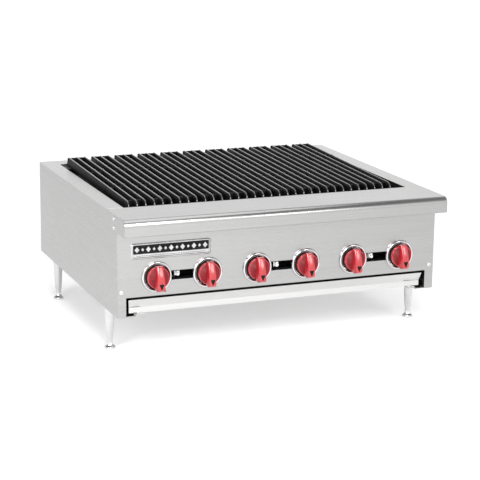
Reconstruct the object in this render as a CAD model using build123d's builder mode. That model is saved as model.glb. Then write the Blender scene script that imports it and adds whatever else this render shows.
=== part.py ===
from build123d import *
import math
import os

# A six-burner countertop gas charbroiler. Millimetres, +Z up, +X to the right of someone
# standing at the knobs, +Y towards the back. The origin is the centre of the bounding box,
# on the surface that the feet stand on.

os.makedirs("parts", exist_ok=True)

# ---------------------------------------------------------------- driving dimensions
WIDTH = 914.4                 # over the side panels, 36 in
BODY_DEPTH = 753.0            # front panel face to back panel face
LEDGE_REACH = 66.0            # how far the bull nose stands in front of the front panel
INLET_REACH = 38.0            # gas pipe behind the back panel
BASE_Z = 113.0                # underside of the body, top of the legs
TOP_Z = 383.0                 # top of the rims and of the front ledge
LEDGE_Z = 340.0               # underside of the bull nose
SHEET = 1.5                   # stainless sheet
KNOB_Z = 216.0                # knob, valve and burner axis height
BURNER_PITCH = 140.0
BURNERS = 6

RIM_SIDE = 47.5               # width of the side rims
RIM_BACK = 50.0               # width of the rear rim
LEDGE_BACK = 90.0             # ledge rear edge behind the front panel face
LIP_DOWN = 12.0               # turned-down edge around the grate opening

COLUMN = 25.0                 # front panel columns beside the tray slot
SLOT_Z = 165.0                # lower edge of the front panel above the tray slot
SLOT_RETURN = 20.0            # depth of the flanges at the slot's ends
WINDOW = (76.0, 25.0)         # pilot lighting window
NOTCH = (11.0, 6.0)           # locating notch under each bezel's lower right edge
NOTCH_PLACE = (20.0, -40.0)   # from the knob's axis

GRATES = 11
GRATE_PITCH = 71.8
RIB_PITCH = 23.9
RIB_WIDTH = 13.0
RIB_CREST = 4.0
RIB_HEIGHT = 24.0
GRATE_LENGTH = 572.0
GRATE_FRONT = 127.0           # nose of the ribs behind the front panel face
CREST_FRONT_Z = 389.0
CREST_BACK_Z = 403.0

LINER_X = 405.0               # inside half width of the firebox
LINER_FRONT = 93.0            # front liner behind the front panel face
LINER_BACK = 701.0            # rear liner's inner face
LINER_BOTTOM = 160.0

RAIL_TOP = 118.7              # ledge that the tray slides on
TRAY_HALF = 398.0
TRAY_FLOOR = 119.0
TRAY_WALL = 27.0
TRAY_SHEET = 1.2
LIP_FACE = 13.0                # upright face of the lip behind the front panel face
LIP_BOTTOM = 120.0
LIP_CREASE = 134.5
LIP_TOP = 157.5
LIP_FLARE = 9.0
LIP_HALF_LOW = 421.0
LIP_HALF_HIGH = 424.5

MANIFOLD_R = 16.7
MANIFOLD_BORE = 13.3
MANIFOLD_Y = 52.0
MANIFOLD_Z = 180.0
INLET_R = 13.335              # 3/4 in pipe
INLET_X = 430.0

STEM_R = 4.0
BEZEL_R = 41.5
KNOB_R = 29.5
LEG_X = 443.0
LEG_FRONT = 110.0
LEG_BACK = 616.0
LEG_TOP_R = 14.0
LEG_END_R = 10.0
FOOT_H = 30.0
FOOT_R = 15.5
STUD_R = 5.95
GAP = 0.2                     # clearance under pieces that lift off

# ---------------------------------------------------------------- derived places
DEPTH = LEDGE_REACH + BODY_DEPTH + INLET_REACH
FRONT = LEDGE_REACH - DEPTH / 2          # front panel outer face
BACK = FRONT + BODY_DEPTH                # back panel outer face
HALF = WIDTH / 2
INSIDE = HALF - SHEET
BURNER_XS = [BURNER_PITCH * (i - (BURNERS - 1) / 2) for i in range(BURNERS)]
PAIR_XS = [(BURNER_XS[i] + BURNER_XS[i + 1]) / 2 for i in range(0, BURNERS, 2)]
GRATE_XS = [GRATE_PITCH * (i - (GRATES - 1) / 2) for i in range(GRATES)]
GRATE_BACK = GRATE_FRONT + GRATE_LENGTH
LEG_SPOTS = {
    "front_left": (-LEG_X, FRONT + LEG_FRONT),
    "front_right": (LEG_X, FRONT + LEG_FRONT),
    "rear_left": (-LEG_X, FRONT + LEG_BACK),
    "rear_right": (LEG_X, FRONT + LEG_BACK),
}


def save(piece, name):
    """Label a finished piece and write its STEP file."""
    piece.label = name
    export_step(piece, f"parts/{name}.step")


def block(x, y, z, mode=Mode.ADD):
    """A box between low and high values along X, Y (from the front panel face) and Z."""
    middle = ((x[0] + x[1]) / 2, FRONT + (y[0] + y[1]) / 2, (z[0] + z[1]) / 2)
    with Locations(middle):
        Box(x[1] - x[0], y[1] - y[0], z[1] - z[0], mode=mode)


def rod(x, y, z, radius, length, along=(0, 1, 0), mode=Mode.ADD):
    """A round bar that starts at x, y (from the front panel face), z and runs along a direction."""
    with Locations(Plane(origin=(x, FRONT + y, z), z_dir=along)):
        Cylinder(radius, length, align=(Align.CENTER, Align.CENTER, Align.MIN), mode=mode)


def both(side, low, high):
    """An X range between two half widths, on the left (-1) or right (+1) side."""
    return sorted((side * low, side * high))


# ---------------------------------------------------------------- sheet metal casing
def side_panel(side):
    """Side sheet whose front edge follows the bull nose, with a rim turned in at the top."""
    nose = FRONT - LEDGE_REACH
    with BuildPart() as panel:
        with BuildSketch(Plane.YZ.offset(side * INSIDE)):
            with BuildLine():
                FilletPolyline(
                    (BACK, BASE_Z), (FRONT, BASE_Z), (FRONT, LEDGE_Z), (nose, LEDGE_Z),
                    (nose, TOP_Z), (BACK, TOP_Z),
                    radius=(0.0, 0.0, 3.0, 17.0), close=False,
                )
                Line((BACK, TOP_Z), (BACK, BASE_Z))
            make_face()
        extrude(amount=side * SHEET)
        rim_inner = HALF - RIM_SIDE
        block(both(side, rim_inner, INSIDE), (LEDGE_BACK, BODY_DEPTH), (TOP_Z - SHEET, TOP_Z))
        block(both(side, rim_inner, rim_inner + SHEET),
              (LEDGE_BACK, BODY_DEPTH - RIM_BACK), (TOP_Z - LIP_DOWN, TOP_Z - SHEET))
    return panel.part


save(side_panel(-1), "left_side_panel")
save(side_panel(1), "right_side_panel")

with BuildPart() as back_panel:
    back_inner = BODY_DEPTH - RIM_BACK
    rim_half = HALF - RIM_SIDE
    block((-INSIDE, INSIDE), (BODY_DEPTH - SHEET, BODY_DEPTH), (BASE_Z, TOP_Z - SHEET))
    block((-rim_half, rim_half), (back_inner, BODY_DEPTH), (TOP_Z - SHEET, TOP_Z))
    block((-rim_half, rim_half), (back_inner, back_inner + SHEET), (TOP_Z - LIP_DOWN, TOP_Z - SHEET))
    rod(INLET_X, BODY_DEPTH - 5, MANIFOLD_Z, INLET_R + 2.5, 10, mode=Mode.SUBTRACT)
save(back_panel.part, "back_panel")

SCREW_X = HALF - 12.7
SCREW_Z = 180.0
SCREW_R = 2.4
with BuildPart() as front_panel:
    slot_half = HALF - COLUMN
    with BuildSketch(Plane.XZ.offset(-FRONT)):
        with Locations((0, (BASE_Z + LEDGE_Z) / 2)):
            Rectangle(2 * INSIDE, LEDGE_Z - BASE_Z)
        with Locations((0, (BASE_Z + SLOT_Z) / 2)):
            Rectangle(2 * slot_half, SLOT_Z - BASE_Z, mode=Mode.SUBTRACT)
        with Locations([(x, KNOB_Z) for x in BURNER_XS]):
            Circle(11.0, mode=Mode.SUBTRACT)
        with Locations([(x, KNOB_Z) for x in PAIR_XS]):
            Rectangle(*WINDOW, mode=Mode.SUBTRACT)
        with Locations([(x + NOTCH_PLACE[0], KNOB_Z + NOTCH_PLACE[1]) for x in BURNER_XS]):
            Rectangle(*NOTCH, mode=Mode.SUBTRACT)
        with Locations((-SCREW_X, SCREW_Z), (SCREW_X, SCREW_Z)):
            Circle(SCREW_R + 0.1, mode=Mode.SUBTRACT)
    extrude(amount=-SHEET)
    block((-slot_half, slot_half), (SHEET, 12), (SLOT_Z, SLOT_Z + SHEET))
    block((-INSIDE, INSIDE), (SHEET, 15), (LEDGE_Z - SHEET, LEDGE_Z))
    for end in (-1, 1):
        block(both(end, slot_half, slot_half + SHEET), (SHEET, SLOT_RETURN), (BASE_Z, SLOT_Z + SHEET))
save(front_panel.part, "front_panel")

with BuildPart() as bullnose_ledge:
    with BuildSketch(Plane.YZ):
        with BuildLine():
            FilletPolyline(
                (FRONT + 15, LEDGE_Z), (FRONT - LEDGE_REACH, LEDGE_Z), (FRONT - LEDGE_REACH, TOP_Z),
                (FRONT + LEDGE_BACK, TOP_Z), (FRONT + LEDGE_BACK, TOP_Z - LIP_DOWN),
                (FRONT + LEDGE_BACK - SHEET, TOP_Z - LIP_DOWN),
                (FRONT + LEDGE_BACK - SHEET, TOP_Z - SHEET),
                (FRONT - LEDGE_REACH + SHEET, TOP_Z - SHEET),
                (FRONT - LEDGE_REACH + SHEET, LEDGE_Z + SHEET), (FRONT + 15, LEDGE_Z + SHEET),
                radius=(3.0, 17.0, 2.0, 0.0, 0.0, 0.5, 17.0 - SHEET, 3.0 - SHEET), close=False,
            )
            Line((FRONT + 15, LEDGE_Z + SHEET), (FRONT + 15, LEDGE_Z))
        make_face()
    extrude(amount=INSIDE, both=True)
save(bullnose_ledge.part, "bullnose_ledge")


# ---------------------------------------------------------------- firebox
def side_liner(side):
    """Inner side wall of the firebox, with a flange under the rim."""
    with BuildPart() as liner:
        block(both(side, LINER_X, LINER_X + SHEET), (LINER_FRONT, LINER_BACK + SHEET), (150, 366))
        block(both(side, LINER_X + SHEET, 440), (LINER_FRONT, LINER_BACK + SHEET), (366 - SHEET, 366))
    return liner.part


save(side_liner(-1), "firebox_liner_left")
save(side_liner(1), "firebox_liner_right")

BURNER_LOW = KNOB_Z - 15.0
with BuildPart() as firebox_liner_rear:
    block((-LINER_X, LINER_X), (LINER_BACK, LINER_BACK + SHEET), (BURNER_LOW - SHEET, 370))
    block((-LINER_X, LINER_X), (LINER_BACK - 60, LINER_BACK), (BURNER_LOW - SHEET, BURNER_LOW))
save(firebox_liner_rear.part, "firebox_liner_rear")

TUBE_R = 16.0
PILOT_X = -7.0               # pilot valve from the middle of its window
PILOT_Z = KNOB_Z - 2
PILOT_TUBE_R = 3.2
with BuildPart() as firebox_liner_front:
    block((-LINER_X, LINER_X), (LINER_FRONT, LINER_FRONT + SHEET), (LINER_BOTTOM, 370))
    for x in BURNER_XS:
        rod(x, LINER_FRONT - 5, KNOB_Z, TUBE_R + 0.5, 12, mode=Mode.SUBTRACT)
    for x in PAIR_XS:
        rod(x + PILOT_X, LINER_FRONT - 5, PILOT_Z, PILOT_TUBE_R + 0.5, 12, mode=Mode.SUBTRACT)
save(firebox_liner_front.part, "firebox_liner_front")

CREST_SLOPE = (CREST_BACK_Z - CREST_FRONT_Z) / GRATE_LENGTH


def rib_foot(y):
    """Height of the flat underside of the ribs at a distance behind the front panel face."""
    return CREST_FRONT_Z - RIB_HEIGHT + (y - GRATE_FRONT) * CREST_SLOPE


RAIL_DEPTH = 48.0
with BuildPart() as grate_rail_front:
    low = rib_foot(GRATE_FRONT) - GAP
    start = LINER_FRONT + SHEET
    block((-LINER_X, LINER_X), (start, start + RAIL_DEPTH), (low - 3, low))
    block((-LINER_X, LINER_X), (start, start + 3), (low - 28, low - 3))
save(grate_rail_front.part, "grate_rail_front")

with BuildPart() as grate_rail_rear:
    low = rib_foot(LINER_BACK - RAIL_DEPTH) - GAP
    block((-LINER_X, LINER_X), (LINER_BACK - RAIL_DEPTH, LINER_BACK), (low - 3, low))
    block((-LINER_X, LINER_X), (LINER_BACK - 3, LINER_BACK), (low - 28, low - 3))
save(grate_rail_rear.part, "grate_rail_rear")

RADIANT_Z = 262.0
with BuildPart() as radiant_rails:
    for y in (LINER_FRONT + 14, LINER_BACK - 26):
        block((-LINER_X, LINER_X), (y, y + 18), (RADIANT_Z - 4, RADIANT_Z))
save(radiant_rails.part, "radiant_rails")


def roof(x, half, apex, thick):
    """Section of a radiant: a sheet folded to an upside-down V with flat feet."""
    with BuildSketch(Plane.XZ.offset(-(FRONT + LINER_FRONT + 12))) as section:
        with BuildLine():
            Polyline(
                (x - half, RADIANT_Z), (x - half + 12, RADIANT_Z), (x, apex - thick * 1.4),
                (x + half - 12, RADIANT_Z), (x + half, RADIANT_Z), (x + half, RADIANT_Z + thick),
                (x + half - 13, RADIANT_Z + thick), (x, apex), (x - half + 13, RADIANT_Z + thick),
                (x - half, RADIANT_Z + thick), close=True,
            )
        make_face()
    return section.sketch


with BuildPart() as radiants:
    for x in BURNER_XS:
        extrude(roof(x, 54, 312, 2.0), amount=-(LINER_BACK - LINER_FRONT - 24))
save(radiants.part, "radiants")

BURNER_START = 118.0
BURNER_END = 672.0
with BuildPart() as burners:
    for x in BURNER_XS:
        block((x - 28, x + 28), (BURNER_START, BURNER_END), (BURNER_LOW, BURNER_LOW + 30))
        block((x - 23, x + 23), (BURNER_START + 5, BURNER_END - 5), (BURNER_LOW + 5, BURNER_LOW + 21),
              mode=Mode.SUBTRACT)
        for edge in (-20, 20):
            block((x + edge - 1.5, x + edge + 1.5), (BURNER_START + 12, BURNER_END - 12),
                  (BURNER_LOW + 25, BURNER_LOW + 31), mode=Mode.SUBTRACT)
        rod(x, 84, KNOB_Z, TUBE_R, BURNER_START - 84)
        rod(x, 84, KNOB_Z, 20, 7)
        rod(x, 80, KNOB_Z, 12, BURNER_START - 60, mode=Mode.SUBTRACT)
save(burners.part, "burners")

# ---------------------------------------------------------------- gas train
with BuildPart() as manifold_pipe:
    rod(-408, MANIFOLD_Y, MANIFOLD_Z, MANIFOLD_R, 816, along=(1, 0, 0))
    rod(-409, MANIFOLD_Y, MANIFOLD_Z, MANIFOLD_BORE, 818, along=(1, 0, 0), mode=Mode.SUBTRACT)
    for x in BURNER_XS:
        rod(x, MANIFOLD_Y, MANIFOLD_Z, 8.0, 20, along=(0, 0, 1), mode=Mode.SUBTRACT)
    for x in PAIR_XS:
        rod(x + PILOT_X, MANIFOLD_Y, MANIFOLD_Z, 5.0, 20, along=(0, 0, 1), mode=Mode.SUBTRACT)
save(manifold_pipe.part, "manifold_pipe")

with BuildPart() as manifold_plug:
    rod(-408, MANIFOLD_Y, MANIFOLD_Z, MANIFOLD_BORE, 14, along=(1, 0, 0))
    with BuildSketch(Plane.YZ.offset(-408)):
        with Locations((FRONT + MANIFOLD_Y, MANIFOLD_Z)):
            RegularPolygon(15, 6)
    extrude(amount=-9)
save(manifold_plug.part, "manifold_plug")

with BuildPart() as manifold_brackets:
    for x in (-140, 140):
        block((x - 10, x + 10), (SHEET, MANIFOLD_Y - 8), (SLOT_Z + 4, SLOT_Z + 20))
        rod(x - 11, MANIFOLD_Y, MANIFOLD_Z, MANIFOLD_R, 22, along=(1, 0, 0), mode=Mode.SUBTRACT)
save(manifold_brackets.part, "manifold_brackets")

with BuildPart() as gas_inlet_pipe:
    rod(408, MANIFOLD_Y, MANIFOLD_Z, 18, INLET_X - 408, along=(1, 0, 0))
    rod(INLET_X, MANIFOLD_Y, MANIFOLD_Z, 18, 34)
    with Locations((INLET_X, FRONT + MANIFOLD_Y, MANIFOLD_Z)):
        Sphere(18)
    rod(INLET_X, MANIFOLD_Y, MANIFOLD_Z, INLET_R, BODY_DEPTH + INLET_REACH - MANIFOLD_Y)
    rod(INLET_X, BODY_DEPTH, MANIFOLD_Z, 18, 2)
    rod(INLET_X, MANIFOLD_Y, MANIFOLD_Z, 10.5, BODY_DEPTH + INLET_REACH, mode=Mode.SUBTRACT)
    rod(407, MANIFOLD_Y, MANIFOLD_Z, 10.5, INLET_X - 407, along=(1, 0, 0), mode=Mode.SUBTRACT)
save(gas_inlet_pipe.part, "gas_inlet_pipe")

VALVE_FRONT = 12.0
VALVE_BACK = 62.0
with BuildPart() as gas_valves:
    for x in BURNER_XS:
        rod(x, VALVE_FRONT + 6, KNOB_Z, 12, VALVE_BACK - VALVE_FRONT - 6)
        rod(x, VALVE_FRONT, KNOB_Z, 8, 8)
        rod(x, MANIFOLD_Y, MANIFOLD_Z + MANIFOLD_BORE, 7.9, KNOB_Z - MANIFOLD_Z - MANIFOLD_BORE,
            along=(0, 0, 1))
        rod(x, VALVE_BACK, KNOB_Z, 7, 18)
        rod(x, VALVE_FRONT - 1, KNOB_Z, STEM_R + 0.08, 27, mode=Mode.SUBTRACT)
save(gas_valves.part, "gas_valves")

VALVE_NOSE = 20.0              # front of the pilot valve's body, just behind the window
with BuildPart() as pilot_valves:
    for x in PAIR_XS:
        left = x + PILOT_X
        block((left - 8, left + 8), (VALVE_NOSE, MANIFOLD_Y + 8), (PILOT_Z - 8, PILOT_Z + 8))
        rod(left, MANIFOLD_Y, MANIFOLD_Z + MANIFOLD_BORE, 4.9, PILOT_Z - MANIFOLD_Z - MANIFOLD_BORE,
            along=(0, 0, 1))
        rod(left, VALVE_NOSE - 9, PILOT_Z, 4.5, 9)
        rod(left, MANIFOLD_Y + 8, PILOT_Z, 5.5, 8)
save(pilot_valves.part, "pilot_valves")

with BuildPart() as pilot_tubes:
    for x in PAIR_XS:
        rod(x + PILOT_X, MANIFOLD_Y + 16, PILOT_Z, PILOT_TUBE_R, 100)
save(pilot_tubes.part, "pilot_tubes")

with BuildPart() as pilot_burners:
    for x in PAIR_XS:
        left = x + PILOT_X
        rod(left, MANIFOLD_Y + 116, PILOT_Z, 7, 22)
        block((left - 9, left + 9), (MANIFOLD_Y + 138, MANIFOLD_Y + 140), (PILOT_Z - 7, PILOT_Z + 20))
save(pilot_burners.part, "pilot_burners")

# ---------------------------------------------------------------- knobs and front trim
with BuildPart() as knob_bezels:
    for x in BURNER_XS:
        with BuildSketch(Plane(origin=(x, FRONT, KNOB_Z), x_dir=(1, 0, 0), z_dir=(0, 0, 1))) as ring:
            with BuildLine():
                Polyline(
                    (7, -0.8), (7, -2), (24, -2), (31, -3.2), (36, -6.5), (39.5, -6.5),
                    (BEZEL_R, -4), (BEZEL_R, 0), (BEZEL_R - 1.4, 0), (BEZEL_R - 1.4, -3.6), (38.8, -5.2),
                    (36.4, -5.2), (31.4, -2.0), (24.3, -0.8), close=True,
                )
            make_face()
        revolve(ring.sketch, axis=Axis((x, FRONT, KNOB_Z), (0, 1, 0)))
save(knob_bezels.part, "knob_bezels")

PLATE_LEFT = -420.0
PLATE_RIGHT = -201.0
PLATE_LOW = 265.0
PLATE_HIGH = 308.0
with BuildPart() as nameplate:
    width = PLATE_RIGHT - PLATE_LEFT
    height = PLATE_HIGH - PLATE_LOW
    with BuildSketch(Plane.XZ.offset(-FRONT)):
        with Locations(((PLATE_LEFT + PLATE_RIGHT) / 2, (PLATE_LOW + PLATE_HIGH) / 2)):
            RectangleRounded(width, height, 4)
    extrude(amount=2.5)
    with BuildSketch(Plane.XZ.offset(-FRONT + 1.5)):
        with Locations(((PLATE_LEFT + PLATE_RIGHT) / 2, (PLATE_LOW + PLATE_HIGH) / 2)):
            RectangleRounded(width - 6, height - 6, 2.5)
    extrude(amount=2, mode=Mode.SUBTRACT)
save(nameplate.part, "nameplate")

with BuildPart() as sheet_screws:
    for x in (-SCREW_X, SCREW_X):
        rod(x, -2.6, SCREW_Z, 6.0, 2.6)
        rod(x, 0, SCREW_Z, SCREW_R, 9)
    for side in (-1, 1):
        for z in (TOP_Z - 11, TOP_Z - 35):
            rod(side * HALF, 22, z, 5.5, 2.2, along=(side, 0, 0))
save(sheet_screws.part, "sheet_screws")


def knob(x):
    """Round knob with a grip bar across its face and a blind bore for the valve stem."""
    with BuildPart() as turned:
        rod(x, -21, KNOB_Z, KNOB_R, 12)
        fillet(turned.faces().sort_by(Axis.Y)[0].edges(), 2)
        with BuildSketch(Plane.XZ.offset(-FRONT + 21)):
            with Locations((x, KNOB_Z)):
                RectangleRounded(19, 66, 6)
        extrude(amount=24)
        fillet(turned.faces().sort_by(Axis.Y)[0].edges(), 3)
        rod(x, -30, KNOB_Z, STEM_R + 0.03, 30, mode=Mode.SUBTRACT)
    return turned.part


def valve_stem(x):
    """Brass stem from inside the valve to the knob."""
    with BuildPart() as stem:
        rod(x, -29.5, KNOB_Z, STEM_R, VALVE_FRONT + 29.5 + 24)
    return stem.part


for number, knob_x in enumerate(BURNER_XS, start=1):
    save(knob(knob_x), f"knob_{number}")
    save(valve_stem(knob_x), f"valve_stem_{number}")


# ---------------------------------------------------------------- cast-iron grates
def grate(x):
    """One casting: three sloping ribs with rounded noses, joined by webs."""
    angle = math.atan(CREST_SLOPE)
    forward = (0, -math.cos(angle), -math.sin(angle))
    rear = (x, FRONT + GRATE_BACK, CREST_BACK_Z)
    with BuildPart() as casting:
        with BuildSketch(Plane(origin=rear, x_dir=(1, 0, 0), z_dir=forward)) as ribs:
            for offset in (-RIB_PITCH, 0, RIB_PITCH):
                with BuildLine():
                    Polyline(
                        (offset - RIB_WIDTH / 2, -RIB_HEIGHT), (offset + RIB_WIDTH / 2, -RIB_HEIGHT),
                        (offset + RIB_WIDTH / 2, 6 - RIB_HEIGHT), (offset + RIB_CREST / 2, 0),
                        (offset - RIB_CREST / 2, 0), (offset - RIB_WIDTH / 2, 6 - RIB_HEIGHT),
                        close=True,
                    )
                make_face()
        extrude(ribs.sketch, amount=GRATE_LENGTH)
        web_half = RIB_PITCH + RIB_WIDTH / 2 - 1
        for y, thick, drop in ((GRATE_BACK - 9, 9, 3), (GRATE_BACK - 190, 8, 6),
                               (GRATE_FRONT + 190, 8, 6), (GRATE_FRONT + 30, 8, 6)):
            foot = rib_foot(y) + 1
            block((x - web_half, x + web_half), (y, y + thick), (foot, foot + RIB_HEIGHT - drop))
        with BuildSketch(Plane.YZ.offset(x - 40)) as outline:
            with BuildLine():
                FilletPolyline(
                    (FRONT + GRATE_FRONT + 8, CREST_FRONT_Z - RIB_HEIGHT - 1),
                    (FRONT + GRATE_FRONT, CREST_FRONT_Z - RIB_HEIGHT + 8),
                    (FRONT + GRATE_FRONT, CREST_FRONT_Z + 0.2),
                    (FRONT + GRATE_BACK, CREST_BACK_Z + 0.2),
                    (FRONT + GRATE_BACK, CREST_FRONT_Z - RIB_HEIGHT - 1),
                    radius=(0.0, 14.0, 0.0), close=False,
                )
                Line((FRONT + GRATE_BACK, CREST_FRONT_Z - RIB_HEIGHT - 1),
                     (FRONT + GRATE_FRONT + 8, CREST_FRONT_Z - RIB_HEIGHT - 1))
            make_face()
        extrude(outline.sketch, amount=80, mode=Mode.INTERSECT)
    return casting.part


for number, grate_x in enumerate(GRATE_XS, start=1):
    save(grate(grate_x), f"grate_{number:02d}")


# ---------------------------------------------------------------- crumb tray and its rails
def tray_rail(side):
    """Base rail: foot flange for the legs, guide wall, and the ledge that the tray slides on."""
    with BuildPart() as rail:
        length = (SHEET, BODY_DEPTH - SHEET)
        block(both(side, LINER_X, INSIDE), length, (BASE_Z, BASE_Z + 2))
        block(both(side, LINER_X, LINER_X + 2), (LIP_FACE + TRAY_SHEET + GAP, length[1]), (BASE_Z + 2, 150))
        block(both(side, LINER_X - 20, LINER_X), length, (RAIL_TOP - 2, RAIL_TOP))
        block(both(side, HALF - COLUMN - 1, INSIDE), (0, SLOT_RETURN + 0.5), (BASE_Z - 1, 152),
              mode=Mode.SUBTRACT)
        for y in (LEG_FRONT, LEG_BACK):
            rod(side * LEG_X, y, BASE_Z - 1, 6.2, 4, along=(0, 0, 1), mode=Mode.SUBTRACT)
    return rail.part


save(tray_rail(-1), "tray_rail_left")
save(tray_rail(1), "tray_rail_right")

with BuildPart() as crumb_tray:
    tray_end = 690.0
    wall_top = TRAY_FLOOR + TRAY_WALL
    block((-TRAY_HALF, TRAY_HALF), (LIP_FACE, tray_end), (TRAY_FLOOR, wall_top))
    block((-TRAY_HALF + TRAY_SHEET, TRAY_HALF - TRAY_SHEET), (LIP_FACE + TRAY_SHEET, tray_end - TRAY_SHEET),
          (TRAY_FLOOR + TRAY_SHEET, wall_top + 1), mode=Mode.SUBTRACT)
    block((-LIP_HALF_LOW, LIP_HALF_LOW), (LIP_FACE, LIP_FACE + TRAY_SHEET), (LIP_BOTTOM, LIP_CREASE))
    rise = LIP_TOP - LIP_CREASE
    lean = Plane(origin=(0, FRONT + LIP_FACE, LIP_CREASE), x_dir=(1, 0, 0), z_dir=(0, -rise, -LIP_FLARE))
    with BuildSketch(lean):
        slant = math.hypot(rise, LIP_FLARE)
        with BuildLine():
            Polyline(
                (-LIP_HALF_LOW, -0.4), (LIP_HALF_LOW, -0.4), (LIP_HALF_HIGH, slant),
                (-LIP_HALF_HIGH, slant), close=True,
            )
        make_face()
    extrude(amount=-TRAY_SHEET)
save(crumb_tray.part, "crumb_tray")


# ---------------------------------------------------------------- legs and feet
def leg(spot):
    """Tapered leg with a stud up through the base rail and a bore for the foot's stud."""
    x, y = spot
    end = FOOT_H
    with BuildPart() as tapered:
        with BuildSketch(Plane(origin=(x, y, 0), x_dir=(1, 0, 0), z_dir=(0, -1, 0))):
            with BuildLine():
                Polyline(
                    (0, BASE_Z + 12), (6, BASE_Z + 12), (6, BASE_Z), (LEG_TOP_R, BASE_Z),
                    (LEG_TOP_R, BASE_Z - 4), (LEG_END_R, end), (STUD_R + 0.05, end),
                    (STUD_R + 0.05, end + 52), (0, end + 52), close=True,
                )
            make_face()
        revolve(axis=Axis((x, y, 0), (0, 0, 1)))
    return tapered.part


def foot(spot):
    """Flared screw foot whose stud runs in the leg."""
    x, y = spot
    with BuildPart() as flared:
        with BuildSketch(Plane(origin=(x, y, 0), x_dir=(1, 0, 0), z_dir=(0, -1, 0))):
            with BuildLine():
                Polyline(
                    (0, 0), (FOOT_R - 1.5, 0), (FOOT_R, 1.5), (FOOT_R, 5), (9, 13), (8, 20),
                    (8.5, FOOT_H - 0.2), (STUD_R, FOOT_H - 0.2), (STUD_R, FOOT_H + 50),
                    (0, FOOT_H + 50), close=True,
                )
            make_face()
        revolve(axis=Axis((x, y, 0), (0, 0, 1)))
    return flared.part


for place, leg_spot in LEG_SPOTS.items():
    save(leg(leg_spot), f"leg_{place}")
    save(foot(leg_spot), f"foot_{place}")

with BuildPart() as leg_nuts:
    for leg_spot in LEG_SPOTS.values():
        with BuildSketch(Plane.XY.offset(BASE_Z + 2)):
            with Locations(leg_spot):
                RegularPolygon(11, 6)
                Circle(6.05, mode=Mode.SUBTRACT)
    extrude(amount=8)
save(leg_nuts.part, "leg_nuts")
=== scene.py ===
import math

import bmesh
import bpy
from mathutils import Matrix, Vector


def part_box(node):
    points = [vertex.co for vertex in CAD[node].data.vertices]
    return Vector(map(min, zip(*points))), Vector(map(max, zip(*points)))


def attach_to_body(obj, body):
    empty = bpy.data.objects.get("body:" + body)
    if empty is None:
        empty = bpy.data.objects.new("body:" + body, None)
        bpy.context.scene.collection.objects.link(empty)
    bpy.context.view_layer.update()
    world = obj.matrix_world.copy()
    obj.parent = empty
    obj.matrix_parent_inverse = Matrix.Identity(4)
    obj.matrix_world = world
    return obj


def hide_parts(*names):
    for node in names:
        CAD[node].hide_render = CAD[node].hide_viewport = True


# A countertop gas charbroiler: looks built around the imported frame.
# Metres, +X to the right of a cook at the knobs, +Y to the back, +Z up.

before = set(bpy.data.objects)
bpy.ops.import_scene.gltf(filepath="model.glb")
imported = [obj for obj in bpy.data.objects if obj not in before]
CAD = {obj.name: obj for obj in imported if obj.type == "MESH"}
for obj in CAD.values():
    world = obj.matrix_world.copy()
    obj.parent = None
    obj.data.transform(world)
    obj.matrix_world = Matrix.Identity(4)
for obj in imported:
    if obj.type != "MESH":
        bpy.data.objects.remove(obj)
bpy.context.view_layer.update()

MM = 0.001


def corners(node):
    """Lowest and highest corner of a CAD node, as two lists."""
    low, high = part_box(node)
    return list(low), list(high)


def centre(node):
    """Middle of a CAD node's box."""
    low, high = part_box(node)
    return (low + high) / 2


FRONT_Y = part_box("front_panel")[0].y          # outer face of the front panel
KNOBS = [f"knob_{i}" for i in range(1, 7)]
GRATES = [f"grate_{i:02d}" for i in range(1, 12)]
PLACES = ["front_left", "front_right", "rear_left", "rear_right"]


# ------------------------------------------------------------------ materials
def fill_ramp(node, stops):
    """Sets a colour ramp's (position, grey or colour) stops."""
    elements = node.color_ramp.elements
    while len(elements) < len(stops):
        elements.new(0.5)
    for element, (position, colour) in zip(elements, stops):
        element.position = position
        element.color = colour if hasattr(colour, "__len__") else (colour, colour, colour, 1)


def tinted(colour, factor, lift=0.0):
    """A colour made darker or lighter, with its alpha."""
    return tuple(min(1.0, c * factor + lift) for c in colour) + (1,)


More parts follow.
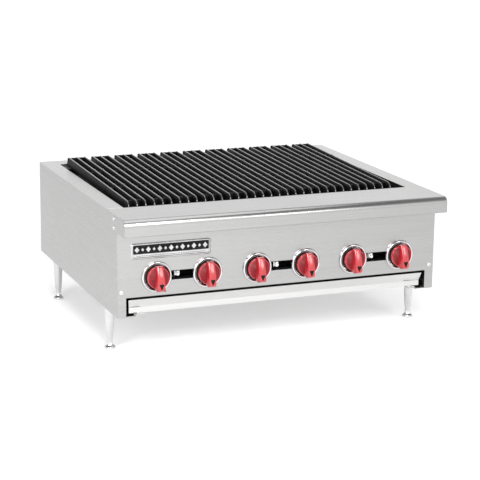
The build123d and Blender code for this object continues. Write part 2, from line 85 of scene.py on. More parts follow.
class Nodes:
    """A material's node tree, with short calls to add nodes and links."""

    def __init__(self, name):
        self.material = bpy.data.materials.new(name)
        self.material.use_nodes = True
        self.tree = self.material.node_tree
        self.shader = self.tree.nodes["Principled BSDF"]
        self.place = self.tree.nodes.new("ShaderNodeTexCoord").outputs["Object"]

    def link(self, source, target):
        self.tree.links.new(source, target)

    def noise(self, scale, detail=3.0, rough=0.5):
        """Noise in 0..1; scale is per metre, one number or one for each axis."""
        mapping = self.tree.nodes.new("ShaderNodeMapping")
        mapping.inputs["Scale"].default_value = scale if hasattr(scale, "__len__") else [scale] * 3
        self.link(self.place, mapping.inputs["Vector"])
        node = self.tree.nodes.new("ShaderNodeTexNoise")
        node.inputs["Scale"].default_value = 1.0
        node.inputs["Detail"].default_value = detail
        node.inputs["Roughness"].default_value = rough
        self.link(mapping.outputs["Vector"], node.inputs["Vector"])
        return node.outputs["Fac"]

    def spread(self, source, low, high):
        """Maps 0..1 to low..high."""
        node = self.tree.nodes.new("ShaderNodeMapRange")
        node.inputs["To Min"].default_value = low
        node.inputs["To Max"].default_value = high
        self.link(source, node.inputs["Value"])
        return node.outputs["Result"]

    def mottle(self, source, stops):
        """Base colour from a source through colour ramp stops."""
        node = self.tree.nodes.new("ShaderNodeValToRGB")
        fill_ramp(node, stops)
        self.link(source, node.inputs["Fac"])
        self.link(node.outputs["Color"], self.shader.inputs["Base Color"])

    def sheen(self, source, low, high):
        """Roughness from a source, between two values."""
        self.link(self.spread(source, low, high), self.shader.inputs["Roughness"])

    def bump(self, *layers):
        """Stacks (height, strength, distance) bumps onto the shader's normal."""
        normal = None
        for height, strength, distance in layers:
            node = self.tree.nodes.new("ShaderNodeBump")
            node.inputs["Strength"].default_value = strength
            node.inputs["Distance"].default_value = distance
            self.link(height, node.inputs["Height"])
            if normal is not None:
                self.link(normal, node.inputs["Normal"])
            normal = node.outputs["Normal"]
        self.link(normal, self.shader.inputs["Normal"])

    def set(self, **values):
        """Constant shader inputs, with underscores for spaces."""
        for key, value in values.items():
            self.shader.inputs[key.replace("_", " ")].default_value = value


def brushed(name, along, tone, rough=0.27):
    """Stainless sheet with grain running along one axis (0, 1 or 2)."""
    n = Nodes(name)
    fine = [900.0] * 3
    fine[along] = 9.0
    streak = [140.0] * 3
    streak[along] = 1.4
    grain = n.noise(fine, detail=4.0)
    bands = n.noise(streak, detail=2.0)
    blotch = n.noise(4.0)
    n.mottle(bands, [(0.3, tinted(tone, 0.97)), (0.7, tinted(tone, 1.02))])
    mix = n.tree.nodes.new("ShaderNodeMath")
    mix.operation = "MULTIPLY_ADD"
    n.link(grain, mix.inputs[0])
    mix.inputs[1].default_value = 0.6
    n.link(n.spread(blotch, 0.0, 0.4), mix.inputs[2])
    n.sheen(mix.outputs[0], rough - 0.07, rough + 0.09)
    n.bump((grain, 0.06, 0.1 * MM))
    n.set(Metallic=1.0)
    return n.material


def chrome():
    """Bright plate with a very slight ripple."""
    n = Nodes("chrome_plate")
    ripple = n.noise(60.0, detail=2.0)
    wipe = n.noise((300.0, 300.0, 20.0), detail=2.0)
    n.mottle(ripple, [(0.3, (0.62, 0.62, 0.63, 1)), (0.7, (0.67, 0.67, 0.68, 1))])
    n.sheen(wipe, 0.04, 0.10)
    n.bump((ripple, 0.03, 0.4 * MM))
    n.set(Metallic=1.0)
    return n.material


def cast_iron(name, low, high, rough, specular, shine):
    """Sand-cast iron: pebbled skin, uneven sheen."""
    n = Nodes(name)
    skin = n.noise(420.0, detail=5.0, rough=0.65)
    lumps = n.noise(70.0, detail=2.0)
    n.mottle(lumps, [(0.35, (low, low, low * 1.02, 1)), (0.7, high)])
    n.sheen(skin, rough - 0.12, rough + 0.14)
    n.bump((lumps, 0.25, 1.2 * MM), (skin, 0.35, 0.4 * MM))
    n.set(Specular_IOR_Level=specular, Coat_Weight=shine, Coat_Roughness=0.2)
    return n.material


def painted(name, colour, rough, specular=0.5):
    """Sprayed or enamelled finish with a light orange peel."""
    n = Nodes(name)
    peel = n.noise(500.0)
    dust = n.noise(30.0)
    n.mottle(dust, [(0.3, tinted(colour, 0.8)), (0.75, tinted(colour, 1.25, 0.004))])
    n.sheen(peel, rough - 0.06, rough + 0.1)
    n.bump((peel, 0.12, 0.3 * MM))
    n.set(Specular_IOR_Level=specular)
    return n.material


def metal(name, colour, rough):
    """Bare machined or die-cast metal."""
    n = Nodes(name)
    tool = n.noise((260.0, 104.0, 260.0), detail=4.0)
    stain = n.noise(25.0)
    n.mottle(stain, [(0.3, tinted(colour, 0.82)), (0.7, tinted(colour, 1.0))])
    n.sheen(tool, rough - 0.08, rough + 0.12)
    n.bump((tool, 0.12, 0.3 * MM))
    n.set(Metallic=1.0)
    return n.material


def moulded_red(name, dark, light, rough, gloss=0.2):
    """Red thermoset plastic with a slightly uneven gloss."""
    n = Nodes(name)
    haze = n.noise(120.0, detail=2.0)
    skin = n.noise(900.0, detail=2.0)
    n.mottle(haze, [(0.3, dark + (1,)), (0.7, light + (1,))])
    n.sheen(skin, rough - 0.06, rough + 0.1)
    n.bump((skin, 0.06, 0.2 * MM))
    n.set(Specular_IOR_Level=0.55, Coat_Weight=gloss, Coat_Roughness=0.16)
    return n.material


STEEL_TONE = (0.405, 0.405, 0.402)
TRAY_TONE = (0.64, 0.64, 0.636)
MATERIAL = {
    "steel_x": brushed("brushed_steel_x", 0, STEEL_TONE),
    "steel_tray": brushed("brushed_steel_tray", 0, TRAY_TONE, 0.2),
    "steel_y": brushed("brushed_steel_y", 1, STEEL_TONE),
    "liner": metal("heat_stained_sheet", (0.16, 0.15, 0.14), 0.5),
    "chrome": chrome(),
    "grate_iron": cast_iron("seasoned_cast_iron", 0.002, 0.006, 0.5, 0.12, 0.0),
    "crest_iron": cast_iron("worn_crest_iron", 0.03, 0.09, 0.2, 1.0, 0.8),
    "burner_iron": cast_iron("bare_cast_iron", 0.05, 0.09, 0.62, 0.4, 0.0),
    "black": painted("black_enamel", (0.02, 0.02, 0.02), 0.42),
    "red": moulded_red("red_plastic", (0.38, 0.008, 0.014), (0.45, 0.012, 0.020), 0.26, 0.9),
    "red_face": moulded_red("red_face", (0.17, 0.004, 0.009), (0.25, 0.008, 0.016), 0.45),
    # painted shade: near-black paint on the bezel recess stands in for the shade behind each knob
    "recess": painted("painted_shade_recess", (0.012, 0.012, 0.013), 0.45),
    "bright_alloy": metal("polished_alloy", (0.92, 0.92, 0.91), 0.22),
    "mark": painted("black_fill", (0.006, 0.006, 0.006), 0.4, specular=0.12),
    "brass": metal("turned_brass", (0.72, 0.52, 0.25), 0.28),
    "alloy": metal("die_cast_alloy", (0.62, 0.62, 0.60), 0.38),
    "zinc": metal("zinc_plate", (0.72, 0.73, 0.74), 0.25),
    "plate": metal("satin_plate", (0.56, 0.56, 0.56), 0.24),
    "band": painted("gloss_black_band", (0.004, 0.004, 0.004), 0.2, specular=0.15),
}


def paint(piece, *keys):
    """Gives a piece its materials, in slot order. Every face goes back to the first."""
    piece.data.materials.clear()
    for key in keys:
        piece.data.materials.append(MATERIAL[key])


# ------------------------------------------------------------------ mesh helpers
def finish_mesh(mesh, sharp=32.0):
    """Clean normals and smooth shading with sharp edges above an angle in degrees."""
    work = bmesh.new()
    work.from_mesh(mesh)
    bmesh.ops.remove_doubles(work, verts=work.verts, dist=1e-6)
    bmesh.ops.recalc_face_normals(work, faces=work.faces)
    work.to_mesh(mesh)
    work.free()
    mesh.shade_smooth()
    mesh.set_sharp_from_angle(angle=math.radians(sharp))


def piece_from(name, mesh):
    """An object in the scene for a mesh."""
    piece = bpy.data.objects.new(name, mesh)
    bpy.context.scene.collection.objects.link(piece)
    return piece


def mesh_from(name, work):
    """Mesh data from a bmesh, which is freed."""
    mesh = bpy.data.meshes.new(name)
    work.to_mesh(mesh)
    work.free()
    return mesh


def settle(piece):
    """Applies a piece's modifiers to its mesh."""
    depsgraph = bpy.context.evaluated_depsgraph_get()
    applied = bpy.data.meshes.new_from_object(piece.evaluated_get(depsgraph))
    piece.modifiers.clear()
    piece.data = applied
    finish_mesh(applied)
    return piece


def lathe(name, profile, steps, place):
    """Turns a closed (radius, height) profile; place maps (radius, angle, height) to a point."""
    work = bmesh.new()
    rings = []
    for radius, height in profile:
        if radius < 1e-7:
            rings.append([work.verts.new(place(0.0, 0.0, height))])
        else:
            rings.append([work.verts.new(place(radius, math.tau * i / steps, height))
                          for i in range(steps)])
    for a, b in zip(rings, rings[1:] + rings[:1]):
        for i in range(steps):
            j = (i + 1) % steps
            face = []
            for vert in (a[i % len(a)], a[j % len(a)], b[j % len(b)], b[i % len(b)]):
                if vert not in face:
                    face.append(vert)
            if len(face) > 2:
                work.faces.new(face)
    mesh = mesh_from(name, work)
    finish_mesh(mesh)
    return piece_from(name, mesh)


def in_metres(profile):
    """A (radius, height) profile written in millimetres."""
    return [(r * MM, h * MM) for r, h in profile]


def out_of_panel(profile):
    """A profile in millimetres whose heights stand forward of the front panel."""
    return [(r * MM, FRONT_Y - h * MM) for r, h in profile]


def upright(x, y):
    """Place function for a turned piece whose axis is vertical."""
    return lambda r, a, h: (x + r * math.cos(a), y + r * math.sin(a), h)


def facing_front(x, z):
    """Place function for a turned piece whose axis points forward; height is Y."""
    return lambda r, a, h: (x + r * math.cos(a), h, z + r * math.sin(a))


def facing(origin, direction):
    """Place function for a turned piece that stands on a point along a direction."""
    out = Vector(direction)
    side = out.orthogonal().normalized()
    other = out.cross(side)
    base = Vector(origin)
    return lambda r, a, h: base + out * h + side * (r * math.cos(a)) + other * (r * math.sin(a))


def loft(name, rings, marked=()):
    """Closed solid through rings of points; sides on the marked ring edges take material 1."""
    work = bmesh.new()
    rows = [[work.verts.new(point) for point in ring] for ring in rings]
    count = len(rows[0])
    for a, b in zip(rows, rows[1:]):
        for i in range(count):
            j = (i + 1) % count
            side = work.faces.new((a[i], a[j], b[j], b[i]))
            side.material_index = 1 if i in marked else 0
    work.faces.new(rows[0])
    work.faces.new(rows[-1])
    bmesh.ops.recalc_face_normals(work, faces=work.faces)
    return piece_from(name, mesh_from(name, work))


def prism(name, outline, low, high):
    """Closed solid from a flat (x, z) outline, between two places along Y."""
    return loft(name, [[(x, y, z) for x, z in outline] for y in (low, high)])


def rounded_rectangle(cx, cz, width, height, radius, steps=6):
    """Outline of a rectangle with round corners, as (x, z) points."""
    points = []
    for corner, (sx, sz) in enumerate(((1, 1), (-1, 1), (-1, -1), (1, -1))):
        for i in range(steps + 1):
            a = math.pi / 2 * (corner + i / steps)
            points.append((cx + sx * (width / 2 - radius) + radius * math.cos(a),
                           cz + sz * (height / 2 - radius) + radius * math.sin(a)))
    return points


def bevel(piece, width, segments=3, angle=30.0):
    """Rounds a piece's edges sharper than an angle in degrees, and applies it."""
    modifier = piece.modifiers.new("round", "BEVEL")
    modifier.width = width
    modifier.segments = segments
    modifier.limit_method = "ANGLE"
    modifier.angle_limit = math.radians(angle)
    return settle(piece)


def combine(base, others, operation):
    """Joins closed solids to a base, or cuts them from it, and removes them."""
    for other in others:
        modifier = base.modifiers.new("combine", "BOOLEAN")
        modifier.operation = operation
        modifier.solver = "EXACT"
        modifier.object = other
    settle(base)
    for other in others:
        bpy.data.objects.remove(other)
    return base


def union(name, pieces):
    """Joins overlapping solids into one closed mesh."""
    pieces[0].name = name
    return combine(pieces[0], pieces[1:], "UNION")


def attach(piece, body, slot, *nodes):
    """Rides a piece on its body and hides the CAD nodes it stands for."""
    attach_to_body(piece, body)
    if nodes:
        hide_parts(*nodes)
    return piece


def attach_set(pieces, slot, node):
    """Rides pieces that stand for one CAD node together on the cabinet; the first one hides the
    node.
    """
    attach(pieces[0], "cabinet", slot, node)
    for piece in pieces[1:]:
        attach(piece, "cabinet", slot)


# ------------------------------------------------------------------ parts shown from CAD
CAD_LOOKS = {
    "steel_x": ["front_panel", "bullnose_ledge", "back_panel"],
    "steel_tray": ["crumb_tray"],
    "steel_y": ["left_side_panel", "right_side_panel", "tray_rail_left", "tray_rail_right"],
    "liner": ["firebox_liner_left", "firebox_liner_right", "firebox_liner_rear",
              "firebox_liner_front", "radiants", "radiant_rails"],
    "black": ["grate_rail_front", "grate_rail_rear", "manifold_pipe", "manifold_plug",
              "gas_inlet_pipe"],
    "burner_iron": ["burners"],
    "alloy": ["gas_valves", "pilot_tubes"],
    "zinc": ["manifold_brackets", "leg_nuts"],
    "brass": ["pilot_burners"] + [f"valve_stem_{i}" for i in range(1, 7)],
}
SOFTENED = ["front_panel", "back_panel", "left_side_panel", "right_side_panel", "bullnose_ledge"]
SHEET_EDGE = 0.45 * MM


def soften(node):
    """Rounds the edges of a CAD sheet part with modifiers only."""
    part = CAD[node]
    weld = part.modifiers.new("weld", "WELD")
    weld.merge_threshold = 1e-6
    flat = part.modifiers.new("flat", "DECIMATE")
    flat.decimate_type = "DISSOLVE"
    flat.angle_limit = math.radians(0.5)
    edge = part.modifiers.new("edge", "BEVEL")
    edge.width = SHEET_EDGE
    edge.segments = 2
    edge.limit_method = "ANGLE"
    edge.angle_limit = math.radians(40)


for key, nodes in CAD_LOOKS.items():
    for node in nodes:
        paint(CAD[node], key)
for node in SOFTENED:
    soften(node)

# ------------------------------------------------------------------ grates
RIB_WIDTH = 13 * MM
RIB_HEIGHT = 24 * MM
RIB_PITCH = 23.9 * MM
NOSE = 19 * MM                                 # length of the rounded front end
NOSE_STEPS = 7
BODY_STEPS = 14
CREST = 2.4 * MM
CREST_FACES = range(4, 10)                     # section edges that belong to the crest
REAR_ROUND = 5 * MM
WEB_THICK = 8 * MM
MID_WEB_IN = 190 * MM                          # from either end
PIP_RIBS = (0, 1)                              # ribs with pips; the left one has none


def cast(piece):
    """The two irons of a casting, added without changing which face has which."""
    for key in ("grate_iron", "crest_iron"):
        piece.data.materials.append(MATERIAL[key])
    return piece


def rib_section(height, narrow):
    """Rib section around its centre, as (x, z up from the foot). A side ends with its crest."""
    half = RIB_WIDTH / 2 * narrow
    crest = CREST / 2 * narrow
    side = [(half - 0.8 * MM, 0.0), (half, 0.9 * MM), (half * 0.96, height * 0.2),
            (crest + 1.7 * MM, height - 5.0 * MM), (crest + 0.4 * MM, height - 1.2 * MM),
            (crest * 0.9, height - 0.4 * MM), (crest * 0.5, height - 0.06 * MM)]
    return side + [(0.0, height)] + [(-x, z) for x, z in reversed(side)]


def rib(x, front, back, foot):
    """One rib: a lofted bar from the rounded nose at the front to the rear end."""
    length = back - front
    stations = [NOSE * (1 - math.cos(math.pi / 2 * i / NOSE_STEPS)) for i in range(NOSE_STEPS + 1)]
    stations += [NOSE + (length - NOSE - REAR_ROUND) * i / BODY_STEPS
                 for i in range(1, BODY_STEPS + 1)]
    stations += [length - REAR_ROUND * 0.45, length - REAR_ROUND * 0.12, length]
    rings = []
    for t in stations:
        rise = math.sqrt(max(0.0, 1 - (1 - min(t, NOSE) / NOSE) ** 2))
        tail = min(1.0, (length - t) / REAR_ROUND)
        height = (RIB_HEIGHT * (0.30 + 0.70 * rise)
                  - 3.5 * MM * (1 - math.sqrt(1 - (1 - tail) ** 2)))
        narrow = 0.80 + 0.20 * rise
        lift = 2.5 * MM * (1 - rise)
        rings.append([(x + u, front + t, foot(front + t) + lift + v * (1 - lift / height))
                      for u, v in rib_section(height, narrow)])
    return cast(loft("rib", rings, CREST_FACES))


def nub(x, y, crest):
    """Small rounded casting pip on a crest, where a web crosses under it."""
    profile = [(0.0, crest - 2 * MM), (2.8 * MM, crest - 2 * MM), (2.8 * MM, crest),
               (2.4 * MM, crest + 0.8 * MM), (1.4 * MM, crest + 1.5 * MM), (0.0, crest + 1.8 * MM)]
    pip = cast(lathe("nub", profile, 16, upright(x, y)))
    for face in pip.data.polygons:
        face.material_index = 1
    return pip


def casting_mesh():
    """The grate casting, centred on x = 0: three ribs, a rear web and three cross webs."""
    low, high = corners(GRATES[0])
    front, back = low[1], high[1]
    slope = (high[2] - RIB_HEIGHT - low[2]) / (back - front)

    def foot(y):
        return low[2] + 0.1 * MM + (y - front) * slope

    parts = [rib(k * RIB_PITCH, front, back, foot) for k in (-1, 0, 1)]
    half = RIB_PITCH + RIB_WIDTH / 2 - 2 * MM
    webs = [(back - 8.5 * MM, 2.2 * MM, ()), (back - MID_WEB_IN, 6 * MM, PIP_RIBS),
            (front + MID_WEB_IN, 6 * MM, PIP_RIBS), (front + 30 * MM, 5 * MM, ())]
    for y, drop, pip_ribs in webs:
        crest = foot(y) + RIB_HEIGHT
        base, roof = foot(y) + 1 * MM, crest - drop
        web = prism("web", [(-half, base), (half, base), (half, roof), (-half, roof)],
                    y, y + WEB_THICK)
        parts.append(cast(bevel(web, 1.8 * MM, 4)))
        parts += [nub(k * RIB_PITCH, y + WEB_THICK / 2, crest) for k in pip_ribs]
    casting = union("casting", parts)
    mesh = casting.data
    bpy.data.objects.remove(casting)
    return mesh


grate_mesh = casting_mesh()
for node in GRATES:
    casting = piece_from(f"{node}_casting", grate_mesh)
    casting.location.x = centre(node).x
    attach(casting, node, "cast_iron", node)

# ------------------------------------------------------------------ knobs, bezels
# Millimetres: radii from the knob's axis, heights forward of the front panel.
TURNED_STEPS = 96
PAINTED_SHADE_R = 31.0                                # inside this the bezel is painted near black: painted shade behind the knob
DISC_R = 29.3
DISC_BACK = 8.0
DISC_FACE = 19.0
RED_FACE_R = DISC_R - 2.2
FACE_RINGS = 12
RING_PITCH = 1.9
GRIP_TOP, GRIP_BOTTOM = 33.0, -32.5            # from the axis, up and down
GRIP_LEVELS = 18
GRIP_END = 0.88                                # where the lower end starts to round off
GRIP_CROWN = 0.35
POINTER_BACK, POINTER_FACE = 40.0, 44.4


def mark_inside(piece, x, z, radius, facing_out=False):
    """Second material for the faces within a radius of an axis, or only those that face out."""
    for face in piece.data.polygons:
        inside = math.hypot(face.center.x - x, face.center.z - z) < radius * MM
        face.material_index = 1 if inside and (not facing_out or face.normal.y < 0) else 0


def bezel(x, z, number):
    """Rolled chrome ring; its recess behind the knob is painted near black as painted shade."""
    outer = [(41.5, 0.0), (41.5, 1.6), (41.1, 3.3), (40.2, 4.9), (39.0, 6.1), (37.5, 6.6),
             (36.2, 6.3), (35.0, 5.4), (33.8, 4.2), (32.4, 3.1), (30.8, 2.4), (24.0, 2.0),
             (7.0, 2.0)]
    inner = [(7.0, 0.9), (30.4, 1.1), (32.2, 1.9), (33.6, 3.0), (35.0, 4.3), (37.4, 5.2),
             (38.8, 4.6), (39.8, 3.2), (40.2, 0.0)]
    ring = lathe(f"bezel_{number}", out_of_panel(outer + inner), TURNED_STEPS, facing_front(x, z))
    paint(ring, "chrome", "recess")
    # faces inside the radius take the near-black painted shade
    mark_inside(ring, x, z, PAINTED_SHADE_R)
    return ring


def knob_disc(x, z, number):
    """The knob's round base: a raised rim around a face with fine concentric rings."""
    profile = [(0.0, DISC_BACK), (DISC_R - 1.0, DISC_BACK), (DISC_R, DISC_BACK + 1.0),
               (DISC_R, DISC_FACE - 1.2), (DISC_R - 0.4, DISC_FACE - 0.3),
               (DISC_R - 1.2, DISC_FACE), (DISC_R - 2.0, DISC_FACE - 0.1),
               (DISC_R - 2.6, DISC_FACE - 1.0)]
    for i in range(FACE_RINGS):
        radius = DISC_R - 3.4 - i * RING_PITCH
        profile += [(radius, DISC_FACE - 0.7), (radius - 0.7, DISC_FACE - 1.25),
                    (radius - 1.3, DISC_FACE - 0.7)]
    profile.append((0.0, DISC_FACE - 0.7))
    disc = lathe(f"knob_disc_{number}", out_of_panel(profile), TURNED_STEPS, facing_front(x, z))
    paint(disc, "red", "red_face")
    mark_inside(disc, x, z, RED_FACE_R, facing_out=True)
    return disc


def grip(x, z):
    """Grip bar: its face swells out towards a wider, rounded lower end."""
    rings = []
    for i in range(GRIP_LEVELS + 1):
        s = i / GRIP_LEVELS
        v = GRIP_TOP + (GRIP_BOTTOM - GRIP_TOP) * s
        half = 8.8 + 1.8 * s
        reach = 29.0 + 14.0 * math.sin(min(1.0, s / 0.75) * math.pi / 2)
        if s > GRIP_END:
            fall = ((s - GRIP_END) / (1.0 - GRIP_END)) ** 2
            reach -= 8.0 * fall
            half -= 1.0 * fall
        points = [(-half, DISC_FACE - 3), (-half, reach - 2.6), (-half + 0.7, reach - 0.9),
                  (-half + 2.4, reach), (-half * 0.4, reach + GRIP_CROWN * 0.7),
                  (0.0, reach + GRIP_CROWN)]
        section = points + [(-u, w) for u, w in reversed(points[:-1])]
        rings.append([(x + u * MM, FRONT_Y - w * MM, z + v * MM) for u, w in section])
    bar = bevel(loft("grip", rings), 1.0 * MM, 3, 50)
    paint(bar, "red", "red_face")
    return bar


def pointer(x, z, number):
    """Plain black triangle inlaid near the lower end of the grip, pointing down."""
    outline = [(-6.4, -12.0), (-5.2, -10.8), (5.2, -10.8), (6.4, -12.0), (0.8, -25.0),
               (-0.8, -25.0)]
    mark = prism(f"knob_pointer_{number}", [(x + u * MM, z + v * MM) for u, v in outline],
                 FRONT_Y - POINTER_FACE * MM, FRONT_Y - POINTER_BACK * MM)
    bevel(mark, 0.25 * MM, 2)
    paint(mark, "mark")
    return mark


bezels = []
for number, node in enumerate(KNOBS, start=1):
    middle = centre(f"valve_stem_{number}")
    bezels.append(bezel(middle.x, middle.z, number))
    turned = union(f"knob_body_{number}",
                   [knob_disc(middle.x, middle.z, number), grip(middle.x, middle.z)])
    attach(turned, node, "knob_red", node)
    attach(pointer(middle.x, middle.z, number), node, "knob_red")
attach_set(bezels, "chrome", "knob_bezels")

# ------------------------------------------------------------------ nameplate
plate_low, plate_high = corners("nameplate")
PLATE_W = plate_high[0] - plate_low[0]
PLATE_H = plate_high[2] - plate_low[2]
PLATE_X = (plate_high[0] + plate_low[0]) / 2
PLATE_Z = (plate_high[2] + plate_low[2]) / 2
BAND_W = PLATE_W - 13 * MM
BAND_H = 23 * MM
BAND_Z = PLATE_Z + 4.2 * MM
LOZENGES = 13
LOZENGE_SPAN = BAND_W - 20 * MM
BEADS = 30
BEAD_SPAN = BAND_W - 24 * MM
BEAD_Z = PLATE_Z - 12.5 * MM


def slab(name, width, height, z, levels):
    """Rounded plate on the front panel through (inset, rise, corner radius) levels in mm."""
    rings = []
    for inset, rise, radius in levels:
        outline = rounded_rectangle(PLATE_X, z, width - 2 * inset * MM, height - 2 * inset * MM,
                                    radius * MM)
        rings.append([(u, FRONT_Y - rise * MM, v) for u, v in outline])
    piece = loft(name, rings)
    finish_mesh(piece.data, 40.0)
    return piece


def in_row(i, count, span):
    """X of one of a row of marks spread over a span."""
    return PLATE_X + (i - (count - 1) / 2) * span / (count - 1)


def plate_mark(name, outline, face, back, look):
    """Flat mark on the nameplate, between two heights forward of the panel."""
    mark = prism(name, outline, FRONT_Y - face, FRONT_Y - back)
    finish_mesh(mark.data)
    paint(mark, look)
    attach(mark, "cabinet", "nameplate")


plate = slab("nameplate_frame", PLATE_W, PLATE_H, PLATE_Z,
             [(0.0, 0.0, 7.0), (0.0, 0.4, 7.0), (2.8, 3.2, 5.6), (3.3, 3.4, 5.0),
              (4.6, 3.3, 4.0), (5.6, 2.0, 3.2), (5.8, 1.5, 3.0)])
paint(plate, "plate")
attach(plate, "cabinet", "nameplate", "nameplate")
band = slab("nameplate_band", BAND_W, BAND_H, BAND_Z,
            [(0.0, 1.4, 3.0), (0.0, 1.8, 3.0), (0.3, 2.0, 2.7)])
paint(band, "band")
attach(band, "cabinet", "nameplate")
for i in range(LOZENGES):
    x = in_row(i, LOZENGES, LOZENGE_SPAN)
    tall, wide = (7.5 * MM, 6.4 * MM) if i % 2 == 0 else (4.4 * MM, 3.8 * MM)
    plate_mark(f"nameplate_lozenge_{i + 1}",
               [(x - wide, BAND_Z), (x, BAND_Z - tall), (x + wide, BAND_Z), (x, BAND_Z + tall)],
               2.4 * MM, 1.8 * MM, "plate")
for i in range(BEADS):
    plate_mark(f"nameplate_bead_{i + 1}",
               rounded_rectangle(in_row(i, BEADS, BEAD_SPAN), BEAD_Z,
                                 3.4 * MM, 1.5 * MM, 0.6 * MM, 3),
               1.75 * MM, 1.3 * MM, "band")

# ------------------------------------------------------------------ pilot valves
valve_low, valve_high = corners("pilot_valves")
VALVE_SIDE = 15.6 * MM
PAIR_PITCH = (valve_high[0] - valve_low[0] - 16 * MM) / 2
VALVE_X = (valve_low[0] + valve_high[0]) / 2
VALVE_Z = valve_high[2] - 8 * MM
VALVE_FRONT = valve_low[1]
NUT_R = 7.2 * MM
HEAD_R, HEAD_DEPTH, HEAD_EDGE = 4.6 * MM, 5.0 * MM, 0.6 * MM
TAIL_R = 5.4 * MM
TAIL_FRONT, TAIL_BACK = FRONT_Y + 58 * MM, FRONT_Y + 68 * MM
NIPPLE_R = 4.8 * MM
NIPPLE_Y = FRONT_Y + 52 * MM
VALVE_STEPS = 40


def rod(name, radius, start, end, place):
    """Plain round bar between two heights."""
    profile = [(0.0, start), (radius, start), (radius, end), (0.0, end)]
    return lathe(name, profile, VALVE_STEPS, place)


def pilot_valve(x, number):
    """Square body with a nut and a slotted adjusting screw in front, a nipple and a tail."""
    along = facing_front(x, VALVE_Z)
    body = prism("body", rounded_rectangle(x, VALVE_Z, VALVE_SIDE, VALVE_SIDE, 2.5 * MM),
                 VALVE_FRONT + 9 * MM, FRONT_Y + 60 * MM)
    hexagon = [(x + NUT_R * math.cos(a), VALVE_Z + NUT_R * math.sin(a))
               for a in (math.radians(30 + 60 * k) for k in range(6))]
    nut = prism("nut", hexagon, VALVE_FRONT + 5 * MM, VALVE_FRONT + 10 * MM)
    back = VALVE_FRONT + 5.5 * MM
    face = back - HEAD_DEPTH
    head = [(0.0, back), (HEAD_R, back), (HEAD_R, face + HEAD_EDGE), (HEAD_R - HEAD_EDGE, face),
            (0.0, face)]
    valve = union(f"pilot_valve_{number}", [
        bevel(body, 1.2 * MM), bevel(nut, 0.5 * MM, 2), lathe("head", head, VALVE_STEPS, along),
        rod("nipple", NIPPLE_R, valve_low[2], VALVE_Z, upright(x, NIPPLE_Y)),
        rod("tail", TAIL_R, TAIL_BACK, TAIL_FRONT, along)])
    slit = prism("slit", rounded_rectangle(x, VALVE_Z, 12 * MM, 1.3 * MM, 0.3 * MM),
                 VALVE_FRONT - 1 * MM, VALVE_FRONT + 1.8 * MM)
    combine(valve, [slit], "DIFFERENCE")
    paint(valve, "bright_alloy")
    return valve


attach_set([pilot_valve(VALVE_X + (i - 1) * PAIR_PITCH, i + 1) for i in range(3)],
           "valve_alloy", "pilot_valves")

# ------------------------------------------------------------------ screws
SCREW_R = 6.0
SCREW_EDGE = 0.5
SCREW_DOME = 1.9
SIDE_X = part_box("right_side_panel")[1].x
SIDE_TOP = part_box("right_side_panel")[1].z
COLUMN_X = SIDE_X - 12.7 * MM
COLUMN_Z = 180 * MM
SIDE_SCREW_Y = FRONT_Y + 22 * MM
SIDE_SCREW_DROPS = {"upper": 11 * MM, "lower": 35 * MM}
FORWARD = (0, -1, 0)


def dome(word, origin, direction):
    """Truss screw head, about 2.2 mm high, with a shallow drive recess."""
    profile = [(0.0, 0.0), (SCREW_R, 0.0), (SCREW_R, SCREW_EDGE)]
    profile += [(SCREW_R * math.cos(a), SCREW_EDGE + SCREW_DOME * math.sin(a))
                for a in (math.pi / 2 * i / 7 for i in range(1, 6))]
    profile += [(1.6, 2.2), (1.2, 1.3), (0.0, 1.0)]
    head = lathe(f"screw_{word}", in_metres(profile), 40, facing(origin, direction))
    paint(head, "chrome")
    return head


screws = [dome("left", (-COLUMN_X, FRONT_Y, COLUMN_Z), FORWARD),
          dome("right", (COLUMN_X, FRONT_Y, COLUMN_Z), FORWARD)]
screws += [dome(f"{word}_side_{level}", (side * SIDE_X, SIDE_SCREW_Y, SIDE_TOP - drop),
                (side, 0, 0))
           for side, word in ((-1, "left"), (1, "right"))
           for level, drop in SIDE_SCREW_DROPS.items()]
attach_set(screws, "chrome", "sheet_screws")

# ------------------------------------------------------------------ legs and feet
# Millimetres above the surface the feet stand on.
LEG_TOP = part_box("tray_rail_left")[0].z / MM
LEG_R = 14.0
SHOULDER_R, SHOULDER_Z = 13.7, LEG_TOP - 4.2
ANKLE_Z = 32.3
TAPER = 3.9                                    # fall in radius from the shoulder to the ankle
LEG_END = 30.3
STUD_R, STUD_TOP = 5.9, 70.0
LEG_STEPS = 64
SHANK = [(0.0, LEG_TOP), (LEG_R, LEG_TOP), (LEG_R, LEG_TOP - 3.0), (SHOULDER_R, SHOULDER_Z)]
SHANK += [(SHOULDER_R - TAPER * s, SHOULDER_Z - (SHOULDER_Z - ANKLE_Z) * s)
          for s in (0.25, 0.5, 0.75, 1.0)]
SHANK += [(9.4, 31.2), (8.9, LEG_END), (0.0, LEG_END)]
BELL = [(0.0, 0.0), (14.0, 0.0), (15.2, 0.5), (15.5, 1.6), (15.5, 4.2), (15.0, 5.4), (13.4, 7.2),
        (11.2, 9.6), (9.6, 12.6), (8.5, 16.5), (8.1, 21.0), (8.3, 26.0), (8.3, 29.9),
        (STUD_R, 30.0), (STUD_R, STUD_TOP), (0.0, STUD_TOP)]

for place in PLACES:
    middle = centre(f"foot_{place}")
    axis = upright(middle.x, middle.y)
    leg = lathe(f"leg_tube_{place}", in_metres(SHANK), LEG_STEPS, axis)
    paint(leg, "chrome")
    attach(leg, "cabinet", "chrome", f"leg_{place}")
    foot = lathe(f"foot_bell_{place}", in_metres(BELL), LEG_STEPS, axis)
    paint(foot, "chrome")
    attach(foot, f"foot_{place}", "chrome", f"foot_{place}")

# ------------------------------------------------------------------ floor and sky
FLOOR_REACH = 40.0
FLOOR_GLOW = 0.28                              # even over the whole floor, so it reads as white
SKY_STRENGTH = 1.35
SKY_BY_HEIGHT = [(0.0, 1.0), (0.3, 1.0), (0.6, 0.24), (1.0, 0.12)]   # sine of elevation, grey

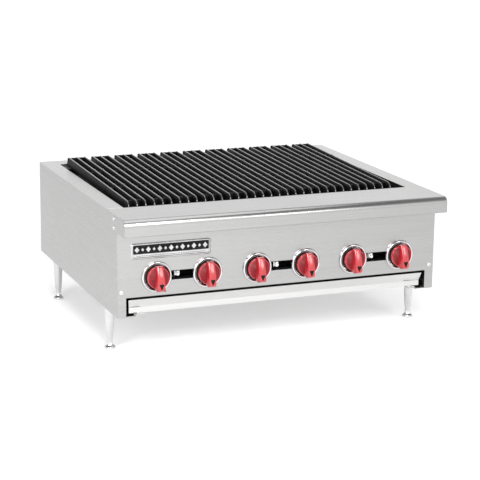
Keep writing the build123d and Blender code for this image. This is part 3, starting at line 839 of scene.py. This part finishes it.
floor_mesh = bpy.data.meshes.new("floor")
floor_mesh.from_pydata([(x * FLOOR_REACH, y * FLOOR_REACH, 0)
                        for x, y in ((-1, -1), (1, -1), (1, 1), (-1, 1))], [], [(0, 1, 2, 3)])
floor = piece_from("floor", floor_mesh)
floor_look = Nodes("pale_floor")
floor_look.mottle(floor_look.noise(3.0, detail=2.0), [(0.3, 0.80), (0.7, 0.82)])
floor_look.set(Roughness=0.9, Specular_IOR_Level=0.1, Emission_Color=(1, 1, 1, 1),
               Emission_Strength=FLOOR_GLOW)
floor.data.materials.append(floor_look.material)

# Soft sky: pale down to the horizon, dimmer overhead, the same from every side.
world = bpy.data.worlds.new("studio")
bpy.context.scene.world = world
world.use_nodes = True
sky = world.node_tree
direction = sky.nodes.new("ShaderNodeTexCoord").outputs["Generated"]
split = sky.nodes.new("ShaderNodeSeparateXYZ")
sky.links.new(direction, split.inputs["Vector"])
sky_ramp = sky.nodes.new("ShaderNodeValToRGB")
fill_ramp(sky_ramp, SKY_BY_HEIGHT)
sky.links.new(split.outputs["Z"], sky_ramp.inputs["Fac"])
background = sky.nodes["Background"]
sky.links.new(sky_ramp.outputs["Color"], background.inputs["Color"])
background.inputs["Strength"].default_value = SKY_STRENGTH

# ------------------------------------------------------------------ lights
FLOOR_AHEAD = (-0.1, -1.1, 0.0)                # both softboxes aim at the floor before the front


def shine(data, direction):
    """A lamp object for light data, shining along a direction."""
    lamp = bpy.data.objects.new(data.name, data)
    bpy.context.scene.collection.objects.link(lamp)
    lamp.rotation_euler = direction.to_track_quat("-Z", "Y").to_euler()
    return lamp


def softbox(name, place, target, size, power):
    """Square area light aimed at a point."""
    data = bpy.data.lights.new(name, "AREA")
    data.size = size
    data.energy = power
    shine(data, Vector(target) - Vector(place)).location = place


def far_light(name, toward, energy, spread):
    """Distant soft light from the direction 'toward', spread over an angle in degrees."""
    data = bpy.data.lights.new(name, "SUN")
    data.energy = energy
    data.angle = math.radians(spread)
    shine(data, -Vector(toward))


softbox("key", (-1.85, -1.6, 1.25), FLOOR_AHEAD, 0.8, 18.0)
softbox("front", (-0.6, -2.6, 1.9), FLOOR_AHEAD, 1.0, 48.0)
far_light("overhead", (0.0, 0.26, 0.97), 1.25, 60.0)
far_light("fill", (0.363, -0.83, 0.424), 0.40, 14.0)

# ------------------------------------------------------------------ camera
CAMERA_PLACE = (-1.6314, -4.1110, 1.2910)
CAMERA_AZIMUTH = 21.97                         # degrees to the right of +Y
CAMERA_ELEVATION = 13.85                       # degrees looking down
CAMERA_ROLL = 0.75
LENS = 119.24
SENSOR = 36.0
CAMERA_REACH = 200.0

camera_data = bpy.data.cameras.new("camera")
camera_data.lens = LENS
camera_data.sensor_width = SENSOR
camera_data.clip_end = CAMERA_REACH
camera = bpy.data.objects.new("camera", camera_data)
bpy.context.scene.collection.objects.link(camera)
az, el, roll = (math.radians(v) for v in (CAMERA_AZIMUTH, CAMERA_ELEVATION, CAMERA_ROLL))
look = Vector((math.sin(az) * math.cos(el), math.cos(az) * math.cos(el), -math.sin(el)))
right = look.cross(Vector((0, 0, 1))).normalized()
up = right.cross(look)
turn = camera.matrix_world.to_3x3()
turn.col[0] = right * math.cos(roll) + up * math.sin(roll)
turn.col[1] = up * math.cos(roll) - right * math.sin(roll)
turn.col[2] = -look
camera.matrix_world = turn.to_4x4()
camera.location = CAMERA_PLACE
bpy.context.scene.camera = camera
bpy.context.scene.view_settings.view_transform = "Standard"
